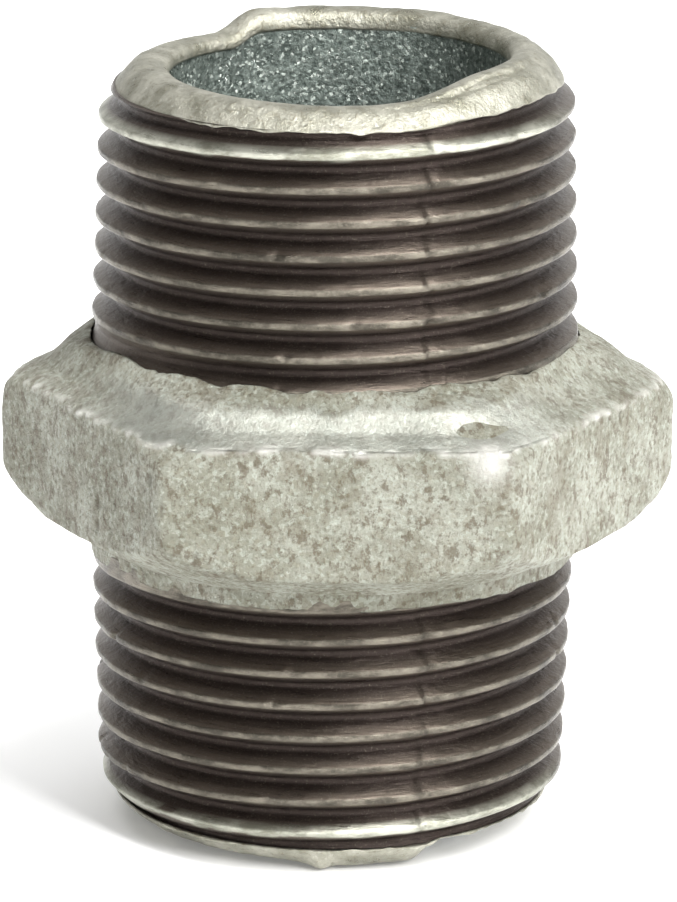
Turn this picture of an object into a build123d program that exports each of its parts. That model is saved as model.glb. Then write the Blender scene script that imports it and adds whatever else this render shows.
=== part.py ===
"""Hexagon nipple, size 1, galvanised malleable cast iron, both ends male.

Millimetres. +Z is the pipe axis. The origin is on the axis, in the lower end
face. The hexagon's flats face +Y and -Y, and its corners point along +X and -X.
"""

import os
from math import atan, cos, degrees, radians, sin, tan

from build123d import *

# Whole fitting.
LENGTH = 53.0
BORE_RADIUS = 11.95
COAT = 0.10  # zinc, measured square to the axis
PASSAGE_OVERRUN = 10.0  # how far the cutter of the bore runs past each end

# Pipe thread R 1 of ISO 7-1: Whitworth form, taper 1 in 16 on the diameter.
PITCH = 25.4 / 11
GAUGE_RADIUS = 33.249 / 2
GAUGE_LENGTH = 10.4
RADIUS_TAPER = 1 / 32
FLANK_ANGLE = 27.5
FULL_HEIGHT = 0.960491 * PITCH
CREST_CUT = FULL_HEIGHT / 6
THREAD_DEPTH = 0.640327 * PITCH
ROOT_RADIUS = 0.137329 * PITCH
CUTTER_OVERLAP = 0.15  # the cutter's flanks run on this far outside the crests
CUTTER_HEIGHT = 1.5  # the cutter's back, outside the crests
SEAM_AZIMUTH = 65  # keeps the tube's seam away from the start of each groove

# Where each thread lies, as the height of a groove's root on the -Y side.
UPPER_ROOT_HEIGHT = 50.815
LOWER_ROOT_HEIGHT = 1.095
UPPER_GROOVE_END = 34.60
LOWER_GROOVE_END = 17.60

# Pipe end, as (radius, depth below the end face), from the bore outwards.
MOUTH_CHAMFER = 0.5
FACE_OUTER_RADIUS = 13.4
RIM_ROUND = (14.2, 0.55)
RIM_BEVEL = (15.0, 1.6)
LEAD_CHAMFER_DEPTH = 2.4
RIM_COAT_EDGE = (14.54, 1.0)  # on the bevel, short of the groove's root

# Hexagon and its shoulders.
ACROSS_FLATS = 41.0
CORNER_RADIUS = 2.4
FACES_BOTTOM = 21.65
FACES_TOP = 30.50
LOWER_COLLAR = 18.40
UPPER_COLLAR = 33.70
COLLAR_RADIUS = 17.0
COLLAR_CORNER_RADIUS = 12.0
# Turned limit of the corners, as (radius, height), from the lower collar up.
CORNER_LIMIT = [
    (COLLAR_RADIUS, LOWER_COLLAR),
    (18.9, 19.70),
    (20.6, 20.85),
    (22.45, 22.30),
    (23.3, 23.90),
    (23.3, 28.60),
    (22.9, 29.80),
    (22.0, 31.00),
    (19.9, 32.30),
    (17.5, 33.30),
    (COLLAR_RADIUS, UPPER_COLLAR),
]


def crest_radius(depth):
    """Radius of the thread's crests at a depth below its pipe end."""
    return GAUGE_RADIUS + (depth - GAUGE_LENGTH) * RADIUS_TAPER


def turned(points):
    """Solid of revolution about Z from an outline of (radius, height) points."""
    return revolve(make_face(Plane.XZ * Polyline(*points, close=True)), Axis.Z)


def rim_outline(skin):
    """Outline of the lower rim, skin deep under its finished surface."""
    return [
        (BORE_RADIUS + skin, MOUTH_CHAMFER + skin),
        (BORE_RADIUS + MOUTH_CHAMFER + skin, skin),
        (FACE_OUTER_RADIUS, skin),
        (RIM_ROUND[0] - skin, RIM_ROUND[1] + skin / 2),
    ]


def iron_tube():
    """The casting's tube with its bore, before the hexagon and the grooves."""
    lower = rim_outline(COAT)
    lower += [(RIM_BEVEL[0] - COAT, RIM_BEVEL[1])]
    lower += [(crest_radius(LEAD_CHAMFER_DEPTH), LEAD_CHAMFER_DEPTH)]
    upper = [(radius, LENGTH - height) for radius, height in reversed(lower)]
    middle = LENGTH / 2
    waist = [(crest_radius(middle), middle)]
    return Rot(0, 0, SEAM_AZIMUTH) * turned(lower + waist + upper)


def rim_coat():
    """Zinc over the lower end face and rim, down to where the groove begins."""
    radius, height = RIM_COAT_EDGE
    edge = [(radius, height), (radius - COAT, height)]
    return turned(rim_outline(0) + edge + rim_outline(COAT)[::-1])


def bore_coat():
    """Zinc lining of the bore, mitred where the rims' zinc takes over."""
    lower = [(BORE_RADIUS + COAT, MOUTH_CHAMFER + COAT), (BORE_RADIUS, MOUTH_CHAMFER)]
    upper = [(radius, LENGTH - height) for radius, height in reversed(lower)]
    return turned(lower + upper)


def rounded_hexagon(across_flats, corner_radius, height):
    """Hexagonal face with flats towards +Y and -Y."""
    outline = RegularPolygon(across_flats / 2, 6, major_radius=False)
    return Pos(0, 0, height) * fillet(outline.vertices(), corner_radius)


def hexagon_block(skin):
    """The hexagon with both shoulders, skin deep under its finished surface."""
    wide = ACROSS_FLATS - 2 * skin
    narrow = 2 * (COLLAR_RADIUS - skin)
    levels = [
        rounded_hexagon(narrow, COLLAR_CORNER_RADIUS, LOWER_COLLAR),
        rounded_hexagon(wide, CORNER_RADIUS, FACES_BOTTOM),
        rounded_hexagon(wide, CORNER_RADIUS, FACES_TOP),
        rounded_hexagon(narrow, COLLAR_CORNER_RADIUS, UPPER_COLLAR),
    ]
    block = loft(levels, ruled=True)
    limit = [(radius - skin, height) for radius, height in CORNER_LIMIT]
    return block & turned([(0, LOWER_COLLAR)] + limit + [(0, UPPER_COLLAR)])


def groove_outline(radius, height):
    """Section of one thread groove, its root centred at a height, as a face."""
    slope = tan(radians(FLANK_ANGLE))
    apex = radius - THREAD_DEPTH - CREST_CUT
    shoulder = radius + CUTTER_OVERLAP
    half_mouth = (shoulder - apex) * slope
    tangent = ROOT_RADIUS / tan(radians(FLANK_ANGLE))
    touch_radius = apex + tangent * cos(radians(FLANK_ANGLE))
    touch_offset = tangent * sin(radians(FLANK_ANGLE))
    left = [
        (touch_radius, height - touch_offset),
        (shoulder, height - half_mouth),
        (radius + CUTTER_HEIGHT, height - half_mouth),
    ]
    right = [(x, 2 * height - z) for x, z in reversed(left)]
    root = (radius - THREAD_DEPTH, height)
    sides = Polyline(*left, *right)
    floor = ThreePointArc(right[-1], root, left[0])
    return make_face(Plane.XZ * (sides + floor))


def groove_cutter(first_root, last_root):
    """Right-hand groove of the lower pipe end, to a last root's height.

    first_root is the height of the first root on the +X side.
    """
    start = first_root - PITCH
    path = Helix(
        pitch=PITCH / cos(atan(RADIUS_TAPER)),
        height=last_root - start,
        radius=crest_radius(start),
        center=(0, 0, start),
        cone_angle=degrees(atan(RADIUS_TAPER)),
    )
    section = groove_outline(crest_radius(start), start)
    return sweep(section, path=path, is_frenet=True)


def lower_cutter():
    """The lower groove. A root a quarter turn after -Y is a quarter pitch up."""
    return groove_cutter(LOWER_ROOT_HEIGHT + PITCH / 4, LOWER_GROOVE_END)


def upper_cutter():
    """The upper groove: the same helix, turned over about X."""
    first_root = LENGTH - UPPER_ROOT_HEIGHT - PITCH / 4
    cutter = groove_cutter(first_root, LENGTH - UPPER_GROOVE_END)
    return turned_over(cutter)


def turned_over(shape):
    """A shape of the lower end, brought to the upper end."""
    return Pos(0, 0, LENGTH) * Rot(180, 0, 0) * shape


def build():
    """Every node of the fitting by name."""
    grooves = [lower_cutter(), upper_cutter()]
    passage_length = LENGTH + 2 * PASSAGE_OVERRUN
    passage = Pos(0, 0, LENGTH / 2) * Cylinder(BORE_RADIUS + COAT, passage_length)
    block = hexagon_block(COAT)
    return {
        "iron_casting": iron_tube() + (block - passage) - grooves,
        "zinc_coat_hexagon": hexagon_block(0) - block,
        "zinc_coat_bore": bore_coat(),
        "zinc_coat_lower_rim": rim_coat(),
        "zinc_coat_upper_rim": turned_over(rim_coat()),
    }


if __name__ == "__main__":
    os.makedirs("parts", exist_ok=True)
    for name, shape in build().items():
        export_step(shape, f"parts/{name}.step")
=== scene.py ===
"""Looks of the galvanised 1 in hexagon nipple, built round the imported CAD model.

Lengths inside the shape functions are in millimetres, and azimuths in degrees
from +X towards +Y. The meshes are scaled to metres when they are made.
"""

import math
from itertools import product

import bmesh
import bpy
import numpy as np
from mathutils import Matrix, Vector


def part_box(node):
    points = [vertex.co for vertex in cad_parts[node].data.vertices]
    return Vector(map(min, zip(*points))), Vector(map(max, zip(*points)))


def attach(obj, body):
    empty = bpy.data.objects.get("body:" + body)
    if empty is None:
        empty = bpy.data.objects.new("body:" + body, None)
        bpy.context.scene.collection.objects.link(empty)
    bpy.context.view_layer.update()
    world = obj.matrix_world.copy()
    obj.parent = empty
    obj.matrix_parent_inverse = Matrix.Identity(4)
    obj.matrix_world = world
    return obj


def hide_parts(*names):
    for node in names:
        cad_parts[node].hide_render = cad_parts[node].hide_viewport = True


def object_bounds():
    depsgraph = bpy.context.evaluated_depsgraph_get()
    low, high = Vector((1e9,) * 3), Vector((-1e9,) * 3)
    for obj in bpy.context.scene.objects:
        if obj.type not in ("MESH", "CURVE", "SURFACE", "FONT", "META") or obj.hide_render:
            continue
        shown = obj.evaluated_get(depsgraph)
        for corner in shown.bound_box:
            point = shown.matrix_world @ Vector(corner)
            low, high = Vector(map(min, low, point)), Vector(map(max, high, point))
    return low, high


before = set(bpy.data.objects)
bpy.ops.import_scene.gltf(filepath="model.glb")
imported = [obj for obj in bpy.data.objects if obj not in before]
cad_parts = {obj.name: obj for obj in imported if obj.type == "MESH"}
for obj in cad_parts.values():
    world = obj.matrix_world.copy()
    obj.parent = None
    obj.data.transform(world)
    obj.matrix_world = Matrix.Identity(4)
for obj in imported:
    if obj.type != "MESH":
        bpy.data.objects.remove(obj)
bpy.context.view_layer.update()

MM = 0.001

# Sizes read from the frame.
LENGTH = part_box("zinc_coat_upper_rim")[1].z / MM
COLLAR_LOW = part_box("zinc_coat_hexagon")[0].z / MM
COLLAR_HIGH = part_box("zinc_coat_hexagon")[1].z / MM
HALF_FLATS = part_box("zinc_coat_hexagon")[1].y / MM
BORE_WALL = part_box("zinc_coat_bore")[1].x / MM

# Taper pipe thread R 1, as in the CAD model.
PITCH = 25.4 / 11
GAUGE_RADIUS = 33.249 / 2
GAUGE_LENGTH = 10.4
RADIUS_TAPER = 1 / 32
THREAD_DEPTH = 0.640327 * PITCH
ROOT_RADIUS = 0.137329 * PITCH
FLANK_SLOPE = math.tan(math.radians(27.5))
CREST_HALF_WIDTH = 0.19
CREST_SOFTNESS = 0.035
FRONT = 270  # azimuth of the -Y side
UPPER_CREST = LENGTH - 3.34  # height of the first crest at the front
LOWER_CREST = 2.25
TURNS = 11  # more turns than either thread has, each way from the first crest
ROWS_FROM_CREST = [0, 0.12, 0.21, 0.32, 0.6, 0.87, 1.0]  # rows down each flank
SEAM = 293  # azimuth of the mould's parting line
SEAM_HALF_WIDTH = 0.17
# Zinc left on a first crest: its height, the azimuths it starts and ends at,
# and how much wider it gets at the azimuth of the wide patch.
WIDE_PATCH = 312
CREST_ZINC = [(UPPER_CREST, 95, 352, 0), (LOWER_CREST, 150, 358, 0.35)]

# Zinc on a rim from the bore to the outer edge: the share of the way along its
# section, the radius, and the fall as a share of that from crown to edge.
RIM_PROFILE = [
    (0, 11.84, 0.62),
    (0.10, 11.86, 0.42),
    (0.18, 11.95, 0.25),
    (0.26, 12.2, 0.11),
    (0.35, 12.7, 0.02),
    (0.44, 13.3, 0.0),
    (0.56, 13.95, 0.14),
    (0.68, 14.4, 0.38),
    (0.82, 14.85, 0.68),
    (0.93, 15.15, 0.88),
    (1, 15.3, 1.0),
]
RIM_MIDDLE_RADIUS = 13.6  # middle of the wall under a rim
RIM_MIDDLE_DEPTH = 0.6  # below the rim's outer edge
RIM_UNDERSIDE = 0.10  # the zinc's underside, as a share of the way to that middle
IRON_UNDER_RIM = 0.17  # the iron's surface, as such a share

# Hexagon. The profiles are (height, radius) points: the radius where the flats'
# middles lean in to the shoulders, and the turned limit of the corners.
UPPER_SHOULDER = [
    (29.3, 21.9),
    (30.5, 20.5),
    (31.4, 18.8),
    (32.2, 18.0),
    (33.0, 17.3),
    (COLLAR_HIGH, 16.95),
]
LOWER_SHOULDER = [
    (COLLAR_LOW, 16.95),
    (19.9, 17.1),
    (20.3, 17.5),
    (21.45, 20.5),
    (22.6, 22.2),
]
UPPER_CORNERS = [
    (26.5, 24.5),
    (28.6, 23.8),
    (29.8, 23.15),
    (31.0, 22.2),
    (32.3, 20.1),
    (33.3, 17.7),
    (COLLAR_HIGH, 17.0),
]
LOWER_CORNERS = [
    (COLLAR_LOW, 17.0),
    (20.0, 17.2),
    (20.4, 17.8),
    (21.2, 20.6),
    (21.45, 20.9),
    (22.5, 22.5),
    (23.9, 23.7),
    (25.5, 24.5),
]
CRISP = 100  # how sharp the corners are between the flats
SOFT = 12  # and round the upper shoulder, which is worn round
BLEND = 90  # how sharply the flats, shoulders and corners meet
EDGE_HEIGHT = 30.45  # upper edge of the hexagon's flats
LEDGE_HEIGHT = 21.5  # ridge at their lower edge
HEXAGON_SHIFT = 0.35  # the hexagon was cast this far towards +X
SKIN_THICKNESS = 0.22
IRON_UNDER_SKIN = 0.9  # deep enough to stay inside the shifted zinc
BLOB = (10.0, -20.2, 29.9)  # lump of zinc on the right front corner
DENT = (9.3, -18.2, 31.5)  # hollow in the shoulder above it

# Bore.
LINING_START = 0.45  # share of a rim's fall at which the lining takes over
LINING_PROUD = 0.1  # how far it stands inside the nominal wall
LINING_BACK = 0.28
IRON_BEHIND_LINING = 0.15

# Mesh density.
IRON_COLUMNS = 356
SKIN_COLUMNS = 800
SKIN_ROWS = 104
RIM_COLUMNS = 640
RIM_ROWS = 31
BORE_COLUMNS = 420
BORE_ROWS = 150
WELD = 2e-6  # metres


# ---------------------------------------------------------------- noise

def lattice(cell, seed):
    """A repeatable number from 0 to 1 for each lattice cell."""
    mixed = cell[..., 0] * 73856093 ^ cell[..., 1] * 19349663 ^ cell[..., 2] * 83492791
    mixed = (mixed ^ seed * 2654435761) & 0xFFFFFFFF
    mixed = ((mixed ^ (mixed >> 13)) * 1274126177) & 0xFFFFFFFF
    mixed = ((mixed ^ (mixed >> 15)) * 2246822519) & 0xFFFFFFFF
    return ((mixed ^ (mixed >> 16)) & 0xFFFFFF) / 0xFFFFFF


def noise(points, size, seed):
    """Smooth noise from -1 to 1 whose bumps are about size across."""
    scaled = points / size
    cell = np.floor(scaled).astype(np.int64)
    part = scaled - cell
    part = part * part * (3 - 2 * part)
    total = 0
    for corner in product((0, 1), repeat=3):
        weight = np.prod(np.where(corner, part, 1 - part), axis=-1)
        total = total + weight * lattice(cell + np.array(corner), seed)
    return 2 * total - 1


def rough(points, size, octaves, seed):
    """Noise with finer and fainter octaves added."""
    total = 0
    for octave in range(octaves):
        total = total + noise(points, size / 2**octave, seed + octave) / 2**octave
    return total


def spots(points, spacing, seed):
    """Distance to the nearest of many scattered centres, over their spacing."""
    scaled = points / spacing
    cell = np.floor(scaled).astype(np.int64)
    nearest = np.full(points.shape[:-1], np.inf)
    for step in product((-1, 0, 1), repeat=3):
        other = cell + np.array(step)
        centre = np.stack([lattice(other, seed + axis) for axis in range(3)], -1)
        away = np.linalg.norm(other + centre - scaled, axis=-1)
        nearest = np.minimum(nearest, away)
    return nearest


# ---------------------------------------------------------------- curves

def rise(value, start, end):
    """0 below start, 1 above end, smooth between."""
    share = np.clip((value - start) / (end - start), 0, 1)
    return share * share * (3 - 2 * share)


def ridge(value, centre, width):
    """1 at the centre, falling away smoothly over a width on both sides."""
    return np.exp(-(((value - centre) / width) ** 2))


def hump(azimuth, centre, width):
    """1 at an azimuth, falling away round the axis over a width in degrees."""
    away = (azimuth - centre + 180) % 360 - 180
    return np.exp(-((away / width) ** 2))


def profile(height, points):
    """Radius at a height along (height, radius) points."""
    heights, radii = zip(*points)
    return np.interp(height, heights, radii)


def place(azimuth, radius, height):
    """Points from cylindrical coordinates."""
    angle = np.radians(azimuth)
    parts = np.broadcast_arrays(radius * np.cos(angle), radius * np.sin(angle), height)
    return np.stack(parts, -1)


# ---------------------------------------------------------------- shape

def crest_radius(depth):
    """Radius of the thread's crests at a depth below its pipe end."""
    return GAUGE_RADIUS + (depth - GAUGE_LENGTH) * RADIUS_TAPER


def thread_drop(away):
    """How far the thread lies under its crests, at a distance from a crest."""
    flank = (away - CREST_HALF_WIDTH) / FLANK_SLOPE
    start = CREST_HALF_WIDTH / FLANK_SLOPE
    flank = (flank + np.sqrt(flank**2 + CREST_SOFTNESS**2)) / 2
    flank = flank - (math.sqrt(start**2 + CREST_SOFTNESS**2) - start) / 2
    inside = np.clip(PITCH / 2 - away, 0, ROOT_RADIUS)
    floor = THREAD_DEPTH - ROOT_RADIUS + np.sqrt(ROOT_RADIUS**2 - inside**2)
    return np.where(inside < 0.88 * ROOT_RADIUS, np.minimum(flank, floor), flank)


def rim_edges(azimuth, upper):
    """Depths of a rim's crown and of its outer edge, from the nominal end.

    The upper rim stands high at the right and back. The lower one hangs low,
    most of all at the front, where it has a lug.
    """
    if upper:
        turn = (azimuth - 288) % 360
        high = rise(turn, 0, 34) * (1 - rise(turn, 188, 202))
        crown = 0.35 + 0.25 * hump(azimuth, 260, 45) - 1.3 * high
        edge = 1.95 - 0.75 * high
    else:
        turn = (azimuth - 294) % 360
        high = rise(turn, 1, 7) * (1 - rise(turn, 95, 190))
        lug = rise(azimuth, 258, 270) * (1 - rise(azimuth, 293, 298))
        crown = -0.55 + 1.0 * high - 0.35 * lug
        edge = 0.72 + 0.25 * high
    return crown, edge


def lead_limit(azimuth, depth, upper):
    """Radius that the chamfered lead of the thread stays inside."""
    edge = rim_edges(azimuth, upper)[1]
    if upper:
        return 15.35 + (depth - edge) * 1.3
    return 14.95 + (depth - edge) * 0.95


def seam_and_lag(azimuth, points):
    """The parting line's nick, and the low stretch that the die left after it."""
    side = (azimuth - SEAM + 180) % 360 - 180
    arc = side * math.pi / 180 * GAUGE_RADIUS + 0.45 * noise(points, 1.0, 31)
    lag = rise(arc, -0.1, 0.1) * np.exp(-np.clip(arc, 0, None) / 3.0)
    return ridge(arc, 0, SEAM_HALF_WIDTH), lag


def thread_surface(azimuth, height, upper):
    """Radius of the iron on one thread, how near a crest and the seam it is."""
    first = UPPER_CREST if upper else LOWER_CREST
    depth = LENGTH - height if upper else height
    turns = (height - first) / PITCH - (azimuth - FRONT) / 360
    away = np.abs(turns - np.round(turns)) * PITCH
    root = height + (0.5 - (turns - np.floor(turns))) * PITCH
    if upper:
        share = rise(root, COLLAR_HIGH + 0.15, COLLAR_HIGH + 1.0)
    else:
        share = 1 - rise(root, COLLAR_LOW - 0.95, COLLAR_LOW - 0.1)
    drop = thread_drop(away) * share
    points = place(azimuth, GAUGE_RADIUS, height)
    worn = 0.05 * rough(points * (1, 1, 0.6), 2.2, 2, 11)
    nicks = 0.22 * rise(spots(points, 2.6, 5), 0.22, 0.05)
    near_crest = 1 - rise(drop, 0.05, 0.5)
    seam, lag = seam_and_lag(azimuth, points)
    torn = 0.05 + 0.36 * near_crest * rise(noise(points, 1.3, 3), -0.4, 0.5)
    radius = crest_radius(depth) - drop + near_crest * (worn - nicks)
    radius = radius - seam * torn - 0.08 * lag
    limit = lead_limit(azimuth, depth, upper)
    radius = np.where(radius > limit, limit + 0.12 * (radius - limit), radius)
    return radius, 1 - drop / THREAD_DEPTH, seam


def flat_reach(azimuth, sharpness):
    """How squarely an azimuth faces the nearest flat, blended at the corners."""
    spread = [np.cos(np.radians(azimuth - 30 - 60 * side)) for side in range(6)]
    return sum(np.clip(facing, 0, None) ** sharpness for facing in spread) ** (1 / sharpness)


def hexagon_radius(azimuth, height):
    """Radius of the zinc on the hexagon and its shoulders."""
    crisp = flat_reach(azimuth, CRISP)
    limits = [
        crisp / HALF_FLATS,
        flat_reach(azimuth, SOFT) / profile(height, UPPER_SHOULDER),
        crisp / profile(height, LOWER_SHOULDER),
        1 / profile(height, UPPER_CORNERS),
        1 / profile(height, LOWER_CORNERS),
    ]
    return sum(limit**BLEND for limit in limits) ** (-1 / BLEND)


# ---------------------------------------------------------------- meshes

def finish_mesh(name, mesh, node, material):
    """Put a mesh in the scene as a piece that stands for a CAD node."""
    piece = bpy.data.objects.new(name, mesh)
    bpy.context.scene.collection.objects.link(piece)
    mesh.materials.append(material)
    mesh.polygons.foreach_set("use_smooth", [True] * len(mesh.polygons))
    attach(piece, "root")
    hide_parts(node)


def grid_faces(columns, rows, wrap_columns):
    """Quads of a grid of columns by rows. The rows always close on themselves."""
    last = columns if wrap_columns else columns - 1
    column, row = np.meshgrid(np.arange(last), np.arange(rows), indexing="ij")
    column, row = column.ravel(), row.ravel()
    beside = (column + 1) % columns
    above = (row + 1) % rows
    corners = [column * rows + row, beside * rows + row]
    corners += [beside * rows + above, column * rows + above]
    return np.stack(corners, -1)


def face_outwards(mesh):
    """Weld points that fall together and turn every face outwards."""
    shell = bmesh.new()
    shell.from_mesh(mesh)
    bmesh.ops.remove_doubles(shell, verts=shell.verts, dist=WELD)
    bmesh.ops.dissolve_degenerate(shell, edges=shell.edges, dist=1e-7)
    bmesh.ops.recalc_face_normals(shell, faces=shell.faces)
    shell.to_mesh(mesh)
    shell.free()


def grid_mesh(name, points, marks, wrap_columns=True):
    """A mesh from points[column, row], whose sections close on themselves.

    marks holds one number per vertex under each name, for the materials.
    """
    mesh = bpy.data.meshes.new(name)
    faces = grid_faces(*points.shape[:2], wrap_columns)
    mesh.from_pydata((points.reshape(-1, 3) * MM).tolist(), [], faces.tolist())
    for mark, values in marks.items():
        layer = mesh.attributes.new(mark, "FLOAT", "POINT")
        layer.data.foreach_set("value", np.ascontiguousarray(values, np.float32).ravel())
    face_outwards(mesh)
    return mesh


def around(columns):
    """Azimuths of the columns, as a column array."""
    return (np.arange(columns) * 360 / columns)[:, None]


# ---------------------------------------------------------------- rims

def rim_section(azimuth, upper, inward):
    """Radius and depth of a rim's surface from the bore to its outer edge.

    inward moves it into the wall, as a share of the way to the wall's middle.
    The zinc is thickest inside the left of the upper rim.
    """
    crown, edge = rim_edges(azimuth, upper)
    share = np.linspace(0, 1, RIM_ROWS)[None, :]
    stops, radii, falls = zip(*RIM_PROFILE)
    roll = 0.30 * hump(azimuth, 190, 60) * upper
    radius = np.interp(share, stops, radii) - roll * (1 - rise(share, 0.1, 0.5))
    depth = crown + (edge - crown) * np.interp(share, stops, falls)
    middle_depth = edge + RIM_MIDDLE_DEPTH
    radius = radius + (RIM_MIDDLE_RADIUS - radius) * inward
    depth = depth + (middle_depth - depth) * inward
    return radius, depth


def rim_lumps(azimuth, share, points, upper):
    """Lumps, bulge and fraying depth of a rim's zinc along its section."""
    lumps = 0.15 * rough(points, 5.0, 2, 41 + upper) + 0.07 * rough(points, 1.2, 2, 47)
    lumps = lumps * (1 - 0.35 * share)
    if upper:
        bulge = 0.30 * hump(azimuth, 345, 55) * rise(share, 0.45, 0.8)
        crease = hump(azimuth, 318, 26) * ridge(share, 0.55, 0.05)
        lumps = lumps - 0.28 * crease + 0.15 * hump(azimuth, 300, 10) * rise(share, 0.1, 0.4)
        frayed = 0.16
    else:
        drip = hump(azimuth, 267.5, 2.6)
        bulge = 0.12 * drip + 0.15 * hump(azimuth, 290, 7)
        lumps = lumps + 0.22 * drip * rise(share, 0.15, 0.4) * (1 - rise(share, 0.7, 1))
        frayed = 0.24
    return lumps, bulge, frayed


def rim_piece(name, upper, node, material):
    """The zinc over one end: lumpy outside, thin, closed underneath."""
    azimuth = around(RIM_COLUMNS)
    radius, depth = rim_section(azimuth, upper, 0)
    share = np.linspace(0, 1, RIM_ROWS)[None, :]
    points = place(azimuth, radius, LENGTH - depth if upper else depth)
    lumps, bulge, frayed = rim_lumps(azimuth, share, points, upper)
    ragged = rise(share, 0.80, 1) * frayed * (rough(points, 1.6, 3, 53) + 0.1)
    radius = radius - lumps * np.cos(share * 2.4 + 2.2) + bulge
    depth = depth - lumps * np.sin(share * 2.2 + 0.5) * 0.8 + ragged
    radius = radius + ragged * 0.35
    under_radius, under_depth = rim_section(azimuth, upper, RIM_UNDERSIDE)
    every_third_back = slice(None, None, -3)
    radius = np.concatenate([radius, under_radius[:, every_third_back]], 1)
    depth = np.concatenate([depth, under_depth[:, every_third_back]], 1)
    height = LENGTH - depth if upper else depth
    if upper:
        radius, height = radius[:, ::-1], height[:, ::-1]
    mesh = grid_mesh(name, place(azimuth, radius, height), {})
    finish_mesh(name, mesh, node, material)


# ---------------------------------------------------------------- hexagon

def shoulder_sheen(azimuth, height, wander):
    """Where the zinc lies above the flats, and how smooth and bright it is.

    It is brightest on the front of the upper shoulder.
    """
    above = rise(height + wander, EDGE_HEIGHT - 0.10, EDGE_HEIGHT + 0.15)
    front = rise(azimuth, 194, 236) * (1 - rise(azimuth, 302, 326))
    sheen = above * (1 - rise(height + 2 * wander, 32.2, 33.2))
    return above, sheen * (0.10 + 0.48 * front)


def flat_pits(points):
    """Upright pits in the flats, in patches."""
    pits = rise(spots(points * (1.2, 1.2, 0.55), 1.4, 71), 0.30, 0.12)
    return pits * rise(noise(points, 4.0, 73), -0.2, 0.5)


def near(points, centre, size, stretch=(1, 1, 1)):
    """1 at a centre, falling away over a size."""
    away = (points - centre) * stretch
    return np.exp(-((np.linalg.norm(away, axis=-1) / size) ** 2))


def hexagon_piece(name, material):
    """The zinc on the hexagon, as a thin closed skin with its dents and pits."""
    azimuth = around(SKIN_COLUMNS)
    height = np.linspace(COLLAR_LOW, COLLAR_HIGH, SKIN_ROWS)[None, :] + 0 * azimuth
    smooth_radius = hexagon_radius(azimuth, height)
    points = place(azimuth, smooth_radius, height)
    wander = 0.18 * rough(points, 1.6, 2, 59)
    above, sheen = shoulder_sheen(azimuth, height, wander)
    lumps = 0.11 * rough(points, 6.0, 2, 61) * (1 - 0.5 * sheen)
    hammered = rough(points, 1.1, 3, 67)
    streaks = noise(points * (1, 1, 0.35), 0.9, 69)
    face = (1 - above) * rise(height, 21.0, 21.7)
    pits = flat_pits(points)
    crumbs = np.clip(noise(points, 0.7, 79), -0.4, 1)
    bead = ridge(height + wander, EDGE_HEIGHT, 0.24) * (0.05 + 0.16 * crumbs)
    ledge = ridge(height, LEDGE_HEIGHT, 0.16) * (0.07 + 0.05 * noise(points, 1.4, 81))
    blob = near(points, BLOB, 1.3)
    dent = near(points, DENT, 1.0, (0.8, 1, 1))
    radius = smooth_radius + lumps + (0.045 * hammered + 0.03 * streaks) * (1 - 0.85 * sheen)
    radius = radius - 0.12 * pits * face + bead + ledge - 0.35 * dent
    radius = radius + blob * (0.30 + 0.25 * noise(points, 0.8, 85))
    shift = HEXAGON_SHIFT * rise(radius, 17.4, 20.0)
    lip = rise(height, COLLAR_HIGH - 0.3, COLLAR_HIGH)
    foot = 1 - rise(height, COLLAR_LOW, COLLAR_LOW + 0.3)
    height = height + (0.24 * lip + 0.16 * foot) * rough(points, 2.6, 4, 83)

    levels = height[:, ::-12]
    inside = hexagon_radius(azimuth, levels) - SKIN_THICKNESS
    unmarked = 0 * inside
    # raised marks the edge bead and the corner blob, which the material whitens: partly pale crumbly
    # zinc, partly painted highlight.
    outer_marks = {
        "sheen": sheen,
        "pit": pits * face,
        "raised": np.clip(bead * 6 + blob, 0, 1),
    }
    marks = {mark: np.concatenate([values, unmarked], 1) for mark, values in outer_marks.items()}
    inside_shift = HEXAGON_SHIFT * rise(inside, 17.4, 20.0)
    radius = np.concatenate([radius, inside], 1)
    height = np.concatenate([height, levels], 1)
    points = place(azimuth, radius, height)
    points[..., 0] += np.concatenate([shift, inside_shift], 1)
    mesh = grid_mesh(name, points, marks)
    finish_mesh(name, mesh, "zinc_coat_hexagon", material)


# ---------------------------------------------------------------- bore

def bore_piece(name, material):
    """The zinc lining of the bore, rough as the core left it."""
    azimuth = around(BORE_COLUMNS)
    crown, edge = rim_edges(azimuth, False)
    low = crown + LINING_START * (edge - crown)
    crown, edge = rim_edges(azimuth, True)
    high = LENGTH - crown - LINING_START * (edge - crown)
    height = low + (high - low) * np.linspace(0, 1, BORE_ROWS)[None, :]
    points = place(azimuth, BORE_WALL, height)
    grain = 0.07 * rough(points, 1.2, 2, 89) + 0.10 * noise(points, 5.0, 97)
    fade = rise(height, low, low + 1)
    radius = BORE_WALL - LINING_PROUD + grain * fade * (1 - rise(height, high - 1, high))
    back_height = low + (high - low) * np.linspace(0, 1, 8)[None, :]
    back_radius = BORE_WALL + LINING_BACK + 0 * back_height
    radius = np.concatenate([back_radius, radius[:, ::-1]], 1)
    height = np.concatenate([back_height, height[:, ::-1]], 1)
    mesh = grid_mesh(name, place(azimuth, radius, height), {})
    finish_mesh(name, mesh, "zinc_coat_bore", material)


# ---------------------------------------------------------------- iron

def leftover_zinc(azimuth, height, points):
    """Where the die left zinc on the first crest of each thread."""
    lift = PITCH * (azimuth - FRONT) / 360
    patchy = rough(points, 2.2, 3, 91)
    total = 0
    for first, start, end, widening in CREST_ZINC:
        away = np.abs(height - first - 0.1 - lift)
        reach = rise(azimuth, start, start + 30) * (1 - rise(azimuth, end - 30, end))
        width = 0.34 + 0.20 * patchy + widening * hump(azimuth, WIDE_PATCH, 16)
        total = total + (1 - rise(away, width, width + 0.07)) * reach
    return total


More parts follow.
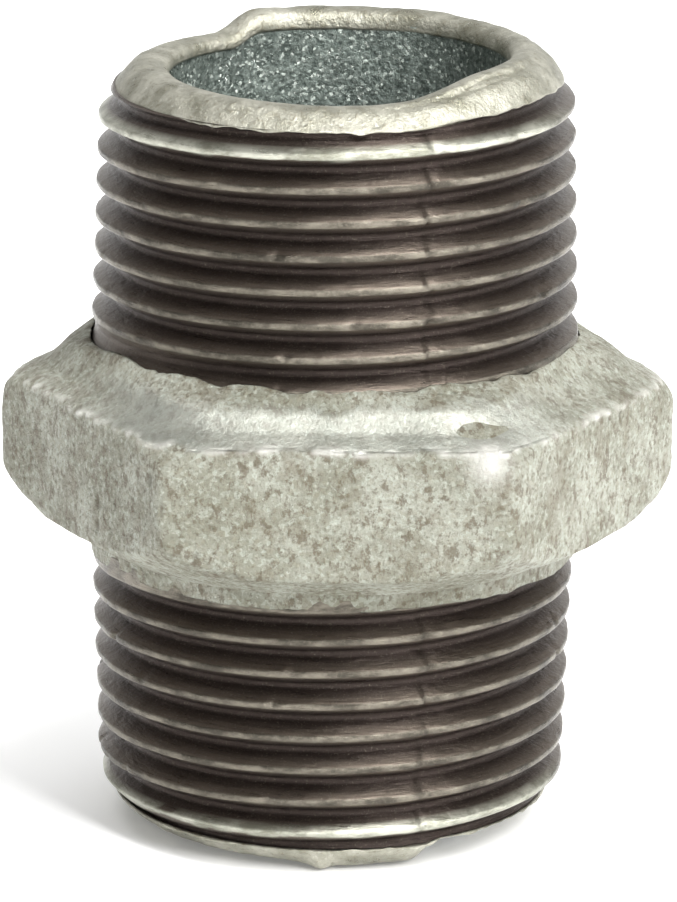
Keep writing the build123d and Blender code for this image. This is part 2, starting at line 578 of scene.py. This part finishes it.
def plain_band(radius, height):
    """Rows of the casting without a thread: radius, height, crest and seam."""
    radius, height = np.broadcast_arrays(radius, height)
    return radius, height, 0 * radius, 0 * radius


def thread_band(azimuth, upper, start, end):
    """Rows of the casting that follow a thread between two heights."""
    first = UPPER_CREST if upper else LOWER_CREST
    steps = np.array(ROWS_FROM_CREST)
    offsets = np.sort(np.concatenate([steps, PITCH - steps[:0:-1], [PITCH / 2]]))
    turns = np.arange(-TURNS, TURNS + 1)[:, None] * PITCH + offsets[None, :]
    rows = first + turns.ravel()[None, :] + PITCH * (azimuth - FRONT) / 360
    rows = rows[:, (rows.max(0) > np.min(start)) & (rows.min(0) < np.max(end))]
    rows = np.clip(rows, start, end)
    radius, crest, seam = thread_surface(azimuth, rows, upper)
    return radius, rows, crest, seam


def iron_piece(name, material):
    """The casting: one closed mesh whose rows follow the threads.

    A thread's rows climb by a turn on the way round, so the last column lies on
    the first and is welded to it.
    """
    azimuth = (np.arange(IRON_COLUMNS + 1) * 360 / IRON_COLUMNS)[:, None]
    low_radius, low_depth = rim_section(azimuth, False, IRON_UNDER_RIM)
    low_edge = rim_edges(azimuth, False)[1]
    middle = np.linspace(COLLAR_LOW + 1.2, COLLAR_HIGH - 1.4, 14)[None, :] + 0 * azimuth
    top_radius, top_depth = rim_section(azimuth, True, IRON_UNDER_RIM)
    top_edge = rim_edges(azimuth, True)[1]
    inner = np.linspace(LENGTH - 2, 2, 6)[None, :] + 0 * azimuth
    bands = [
        plain_band(low_radius[:, ::3], low_depth[:, ::3]),
        thread_band(azimuth, False, low_edge - 0.05, COLLAR_LOW + 0.9),
        plain_band(hexagon_radius(azimuth, middle) - IRON_UNDER_SKIN, middle),
        thread_band(azimuth, True, COLLAR_HIGH - 1.0, LENGTH - top_edge + 0.05),
        plain_band(top_radius[:, ::-3], LENGTH - top_depth[:, ::-3]),
        plain_band(BORE_WALL + IRON_BEHIND_LINING, inner),
    ]
    radius, height, crest, seam = (np.concatenate(rows, 1) for rows in zip(*bands))
    points = place(azimuth, radius, height)
    zinc = leftover_zinc(azimuth, height, points) * rise(crest, 0.5, 0.85)
    marks = {"crest": crest, "zinc": zinc, "seam": seam}
    mesh = grid_mesh(name, points, marks, wrap_columns=False)
    finish_mesh(name, mesh, "iron_casting", material)


# ---------------------------------------------------------------- materials

class Shader:
    """A material's node tree, with short ways to add what the metals need."""

    def __init__(self, name):
        self.material = bpy.data.materials.new(name)
        self.material.use_nodes = True
        self.tree = self.material.node_tree
        self.surface = self.tree.nodes["Principled BSDF"]
        self.place = self.add("ShaderNodeTexCoord").outputs["Object"]

    def add(self, kind, **values):
        node = self.tree.nodes.new(kind)
        for key, value in values.items():
            setattr(node, key, value)
        return node

    def join(self, source, target):
        """Link a socket to a target, or set the target to a plain value."""
        if isinstance(source, (int, float, tuple)):
            target.default_value = source
        else:
            self.tree.links.new(source, target)

    def set(self, name, source):
        """Give one of the surface's own sockets a value or a link."""
        self.join(source, self.surface.inputs[name])

    def noise(self, size, detail=3, harsh=0.55, stretch=(1, 1, 1)):
        """Noise whose bumps are about size millimetres across."""
        mapping = self.add("ShaderNodeMapping")
        self.join(self.place, mapping.inputs["Vector"])
        self.join(stretch, mapping.inputs["Scale"])
        node = self.add("ShaderNodeTexNoise")
        self.join(mapping.outputs["Vector"], node.inputs["Vector"])
        self.join(1 / (size * MM), node.inputs["Scale"])
        self.join(detail, node.inputs["Detail"])
        self.join(harsh, node.inputs["Roughness"])
        return node.outputs["Fac"]

    def cells(self, size):
        """Three unrelated random numbers for each crystal of about a size."""
        node = self.add("ShaderNodeTexVoronoi")
        self.join(self.place, node.inputs["Vector"])
        self.join(1 / (size * MM), node.inputs["Scale"])
        channels = self.add("ShaderNodeSeparateColor")
        self.join(node.outputs["Color"], channels.inputs[0])
        return channels.outputs[0], channels.outputs[1], channels.outputs[2]

    def mark(self, name):
        """A number that the mesh carries at each vertex."""
        return self.add("ShaderNodeAttribute", attribute_name=name).outputs["Fac"]

    def between(self, value, low, high, to_low=0.0, to_high=1.0):
        """A value from low to high, brought smoothly to another range."""
        node = self.add("ShaderNodeMapRange", interpolation_type="SMOOTHSTEP")
        self.join(value, node.inputs["Value"])
        limits = {"From Min": low, "From Max": high, "To Min": to_low, "To Max": to_high}
        for key, number in limits.items():
            node.inputs[key].default_value = number
        return node.outputs["Result"]

    def maths(self, operation, first, second):
        node = self.add("ShaderNodeMath", operation=operation)
        self.join(first, node.inputs[0])
        self.join(second, node.inputs[1])
        return node.outputs[0]

    def mix(self, data_type, share, first, second):
        node = self.add("ShaderNodeMix", data_type=data_type)
        self.join(share, node.inputs["Factor"])
        self.join(first, node.inputs["A"])
        self.join(second, node.inputs["B"])
        return node.outputs["Result"]

    def blend(self, share, first, second):
        """Mix two colours."""
        return self.mix("RGBA", share, first, second)

    def bump(self, height, depth, onto=None):
        """Relief of up to depth millimetres."""
        node = self.add("ShaderNodeBump")
        self.join(height, node.inputs["Height"])
        node.inputs["Distance"].default_value = depth * MM
        if onto is not None:
            self.join(onto, node.inputs["Normal"])
        return node.outputs["Normal"]


def colour(red, green, blue):
    """An opaque colour in linear light."""
    return (red, green, blue, 1.0)


# The root colours are painted shade: the thread darkens from its flanks down into the roots.
IRON_ROOT_PAINTED_SHADE = (colour(0.030, 0.022, 0.019), colour(0.070, 0.053, 0.046))
IRON_FLANK = (colour(0.055, 0.044, 0.036), colour(0.205, 0.170, 0.138))
IRON_RUBBED = (colour(0.06, 0.053, 0.042), colour(0.20, 0.18, 0.145))
IRON_FLECK = colour(0.30, 0.27, 0.22)
IRON_SEAM = colour(0.035, 0.028, 0.022)
ZINC_ON_CREST = (colour(0.24, 0.24, 0.19), colour(0.55, 0.55, 0.47))

ZINC_DULL = (colour(0.245, 0.245, 0.19), colour(0.37, 0.375, 0.315))
ZINC_BRIGHT = (colour(0.25, 0.265, 0.245), colour(0.38, 0.39, 0.355))
ZINC_PALE_FLAKE = colour(0.56, 0.60, 0.53)
ZINC_DARK_FLAKE = colour(0.27, 0.25, 0.18)
ZINC_GRIME = colour(0.13, 0.11, 0.07)
ZINC_CLEAN = colour(0.56, 0.58, 0.51)
ZINC_STREAK = colour(0.125, 0.10, 0.065)
ZINC_STAIN = colour(0.15, 0.125, 0.08)
ZINC_PIT = colour(0.10, 0.085, 0.06)
# Near white on the edge bead and the corner blob: partly pale crumbly zinc, partly painted highlight.
ZINC_RAISED_PALE_AND_HIGHLIGHT = colour(0.80, 0.79, 0.74)

RIM_ZINC = (colour(0.235, 0.23, 0.175), colour(0.47, 0.46, 0.39))
RIM_GRIME = colour(0.20, 0.18, 0.125)
RIM_CLEAN = colour(0.74, 0.74, 0.68)

BORE_ZINC = (colour(0.085, 0.107, 0.095), colour(0.25, 0.29, 0.262))
BORE_SPARKLE = colour(0.58, 0.63, 0.58)


def iron_material():
    """Freshly cut malleable iron: dark oily flanks with painted shade deepening them towards the
    roots, brighter rubbed crests.
    """
    s = Shader("cut_iron")
    crest = s.mark("crest")
    marks = s.noise(0.8, 5, 0.65, (0.22, 0.22, 6))
    patches = s.noise(1.4, 5, 0.7, (0.5, 0.5, 1))
    grain = s.noise(0.16, 3, 0.7)
    worn = s.between(patches, 0.35, 0.65)
    # Painted shade: the colour darkens from the flanks into the thread roots, by the crest mark.
    base = s.blend(s.between(crest, 0.1, 0.9), s.blend(marks, *IRON_ROOT_PAINTED_SHADE), s.blend(marks, *IRON_FLANK))
    base = s.blend(s.between(crest, 0.90, 0.99), base, s.blend(worn, *IRON_RUBBED))
    base = s.blend(s.between(grain, 0.55, 0.75, 0, 0.45), base, IRON_FLECK)
    base = s.blend(s.maths("MULTIPLY", s.mark("seam"), 0.45), base, IRON_SEAM)
    s.set("Base Color", s.blend(s.mark("zinc"), base, s.blend(worn, *ZINC_ON_CREST)))
    s.set("Metallic", 0.85)
    s.set("Anisotropic", 0.8)
    s.set("Anisotropic Rotation", 0.25)
    s.set("Tangent", s.add("ShaderNodeTangent", direction_type="RADIAL", axis="Z").outputs[0])
    s.set("Roughness", s.between(marks, 0.25, 0.75, 0.26, 0.38))
    lathe_lines = s.bump(s.noise(0.26, 4, 0.75, (0.25, 0.25, 3)), 0.06)
    s.set("Normal", s.bump(patches, 0.16, lathe_lines))
    return s.material


def hexagon_material():
    """Dull mottled zinc on the flats, brighter and smoother on the shoulder."""
    s = Shader("zinc_hexagon")
    sheen = s.mark("sheen")
    raised = s.mark("raised")
    pale, dark, tilt = s.cells(0.30)
    grain = s.noise(0.38, 5, 0.72)
    streak = s.noise(0.75, 5, 0.72, (1, 1, 0.75))
    cloud = s.noise(4.5, 3, 0.55)
    stain = s.noise(2.4, 4, 0.7, (1, 1, 0.6))
    dull = s.blend(s.between(cloud, 0.35, 0.65), *ZINC_DULL)
    dull = s.blend(s.between(pale, 0.5, 1.0, 0, 0.35), dull, ZINC_PALE_FLAKE)
    dull = s.blend(s.between(dark, 0.6, 1.0, 0, 0.35), dull, ZINC_DARK_FLAKE)
    dull = s.blend(s.between(grain, 0.52, 0.66, 0, 0.7), dull, ZINC_GRIME)
    dull = s.blend(s.between(grain, 0.44, 0.30, 0, 0.6), dull, ZINC_CLEAN)
    dull = s.blend(s.between(streak, 0.52, 0.62, 0, 0.75), dull, ZINC_STREAK)
    dull = s.blend(s.between(stain, 0.50, 0.66, 0, 0.45), dull, ZINC_STAIN)
    dull = s.blend(s.maths("MULTIPLY", s.mark("pit"), 0.5), dull, ZINC_PIT)
    bright = s.blend(s.between(cloud, 0.3, 0.7), *ZINC_BRIGHT)
    base = s.blend(sheen, dull, bright)
    # The raised bead and blob are whitened: partly pale crumbly zinc, partly painted highlight.
    s.set("Base Color", s.blend(s.maths("MULTIPLY", raised, 0.8), base, ZINC_RAISED_PALE_AND_HIGHLIGHT))
    s.set("Metallic", s.between(sheen, 0, 1, 0.35, 0.9))
    matt = s.between(grain, 0.3, 0.7, 0.40, 0.62)
    glossy = s.between(s.noise(1.5, 3, 0.6), 0.3, 0.7, 0.26, 0.40)
    s.set("Roughness", s.mix("FLOAT", s.maths("MAXIMUM", sheen, raised), matt, glossy))
    relief = s.maths("MULTIPLY", grain, s.between(sheen, 0, 0.8, 1.0, 0.06))
    facets = s.maths("MULTIPLY", tilt, s.between(sheen, 0, 0.6, 1.0, 0.0))
    s.set("Normal", s.bump(relief, 0.45, s.bump(facets, 0.07)))
    return s.material


def rim_material():
    """Thick zinc on the rims: smooth, soft grey-beige, a few dull streaks."""
    s = Shader("zinc_rim")
    cloud = s.noise(2.2, 5, 0.65)
    grain = s.noise(0.45, 5, 0.7)
    base = s.blend(s.between(cloud, 0.3, 0.7), *RIM_ZINC)
    base = s.blend(s.between(grain, 0.52, 0.70, 0, 0.7), base, RIM_GRIME)
    s.set("Base Color", s.blend(s.between(grain, 0.42, 0.28, 0, 0.5), base, RIM_CLEAN))
    s.set("Metallic", 0.75)
    s.set("Roughness", s.between(cloud, 0.3, 0.7, 0.26, 0.45))
    s.set("Normal", s.bump(grain, 0.16))
    return s.material


def bore_material():
    """Granular grey-green zinc over a sand-cored wall, with small sparkles."""
    s = Shader("zinc_bore")
    grain = s.noise(0.40, 5, 0.7)
    sparkle, gloss, tilt = s.cells(0.20)
    base = s.blend(s.between(grain, 0.35, 0.65), *BORE_ZINC)
    s.set("Base Color", s.blend(s.between(sparkle, 0.84, 0.97), base, BORE_SPARKLE))
    s.set("Metallic", 0.7)
    s.set("Roughness", s.between(gloss, 0, 1, 0.25, 0.55))
    s.set("Normal", s.bump(tilt, 0.07, s.bump(grain, 0.22)))
    return s.material


# ---------------------------------------------------------------- staging

def floor_piece(height):
    """A plain pale floor, wide enough to fill every view, that glows a little."""
    reach = 3.0
    corners = [(x * reach, y * reach, height) for x, y in ((-1, -1), (1, -1), (1, 1), (-1, 1))]
    mesh = bpy.data.meshes.new("floor")
    mesh.from_pydata(corners, [], [(0, 1, 2, 3)])
    floor = bpy.data.objects.new("floor", mesh)
    bpy.context.scene.collection.objects.link(floor)
    s = Shader("floor_white")
    s.set("Base Color", colour(0.9, 0.9, 0.9))
    s.set("Roughness", 0.8)
    s.set("Emission Color", colour(1, 1, 1))
    s.set("Emission Strength", 0.12)
    mesh.materials.append(s.material)


def area_light(name, azimuth, elevation, distance, size, power, target):
    """A soft lamp aimed at the object, from an azimuth right of the camera."""
    data = bpy.data.lights.new(name, "AREA")
    data.shape = "RECTANGLE"
    data.size, data.size_y = size
    data.energy = power
    lamp = bpy.data.objects.new(name, data)
    bpy.context.scene.collection.objects.link(lamp)
    turn = math.radians(azimuth)
    tilt = math.radians(elevation)
    back = Vector((math.sin(turn) * math.cos(tilt), -math.cos(turn) * math.cos(tilt), math.sin(tilt)))
    lamp.location = target + back * distance
    lamp.rotation_mode = "QUATERNION"
    lamp.rotation_quaternion = (-back).to_track_quat("-Z", "Y")
    return lamp


def studio_world():
    """White surroundings, dimmer on the left and overhead."""
    world = bpy.data.worlds.new("studio")
    bpy.context.scene.world = world
    world.use_nodes = True
    tree = world.node_tree
    back = tree.nodes["Background"]
    where = tree.nodes.new("ShaderNodeTexCoord")
    split = tree.nodes.new("ShaderNodeSeparateXYZ")
    tree.links.new(where.outputs["Generated"], split.inputs[0])
    total = tree.nodes.new("ShaderNodeMath")
    total.operation = "MULTIPLY"
    left_to_right = {"From Min": -0.9, "From Max": 0.5, "To Min": 0.55, "To Max": 0.86}
    level_to_overhead = {"From Min": 0.25, "From Max": 0.85, "To Min": 1.0, "To Max": 0.42}
    for factor, (axis, limits) in enumerate((("X", left_to_right), ("Z", level_to_overhead))):
        ramp = tree.nodes.new("ShaderNodeMapRange")
        ramp.interpolation_type = "SMOOTHSTEP"
        tree.links.new(split.outputs[axis], ramp.inputs["Value"])
        for key, number in limits.items():
            ramp.inputs[key].default_value = number
        tree.links.new(ramp.outputs["Result"], total.inputs[factor])
    tree.links.new(total.outputs[0], back.inputs["Strength"])
    back.inputs["Color"].default_value = (1.0, 1.0, 0.99, 1.0)


def camera_piece():
    """The camera: a long lens looking down on the fitting from the front."""
    distance = 0.41215
    elevation = 0.2723
    roll = 0.0106
    target = Vector((0.00035, 0, 0.02494))
    data = bpy.data.cameras.new("camera")
    data.sensor_width = 36
    data.lens = 235.2
    data.clip_start = 0.01
    data.clip_end = 20
    camera = bpy.data.objects.new("camera", data)
    bpy.context.scene.collection.objects.link(camera)
    back = Vector((0, -math.cos(elevation), math.sin(elevation)))
    turn = (-back).to_track_quat("-Z", "Y").to_matrix() @ Matrix.Rotation(roll, 3, "Z")
    camera.rotation_mode = "QUATERNION"
    camera.rotation_quaternion = turn.to_quaternion()
    camera.location = target + back * distance
    bpy.context.scene.camera = camera
    return target


target = camera_piece()
iron_piece("malleable_iron_casting", iron_material())
hexagon_piece("zinc_hexagon_skin", hexagon_material())
rim_zinc = rim_material()
rim_piece("zinc_lower_rim", False, "zinc_coat_lower_rim", rim_zinc)
rim_piece("zinc_upper_rim", True, "zinc_coat_upper_rim", rim_zinc)
bore_piece("zinc_bore_lining", bore_material())

visual_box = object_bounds()
floor_piece(visual_box[0].z)
studio_world()
area_light("key", 35, 50, 0.8, (0.16, 0.90), 15.0, target)
ceiling = area_light("ceiling", 180, 66, 1.0, (1.3, 1.3), 11.0, target)
ceiling.visible_glossy = False

bpy.context.scene.view_settings.view_transform = "Standard"
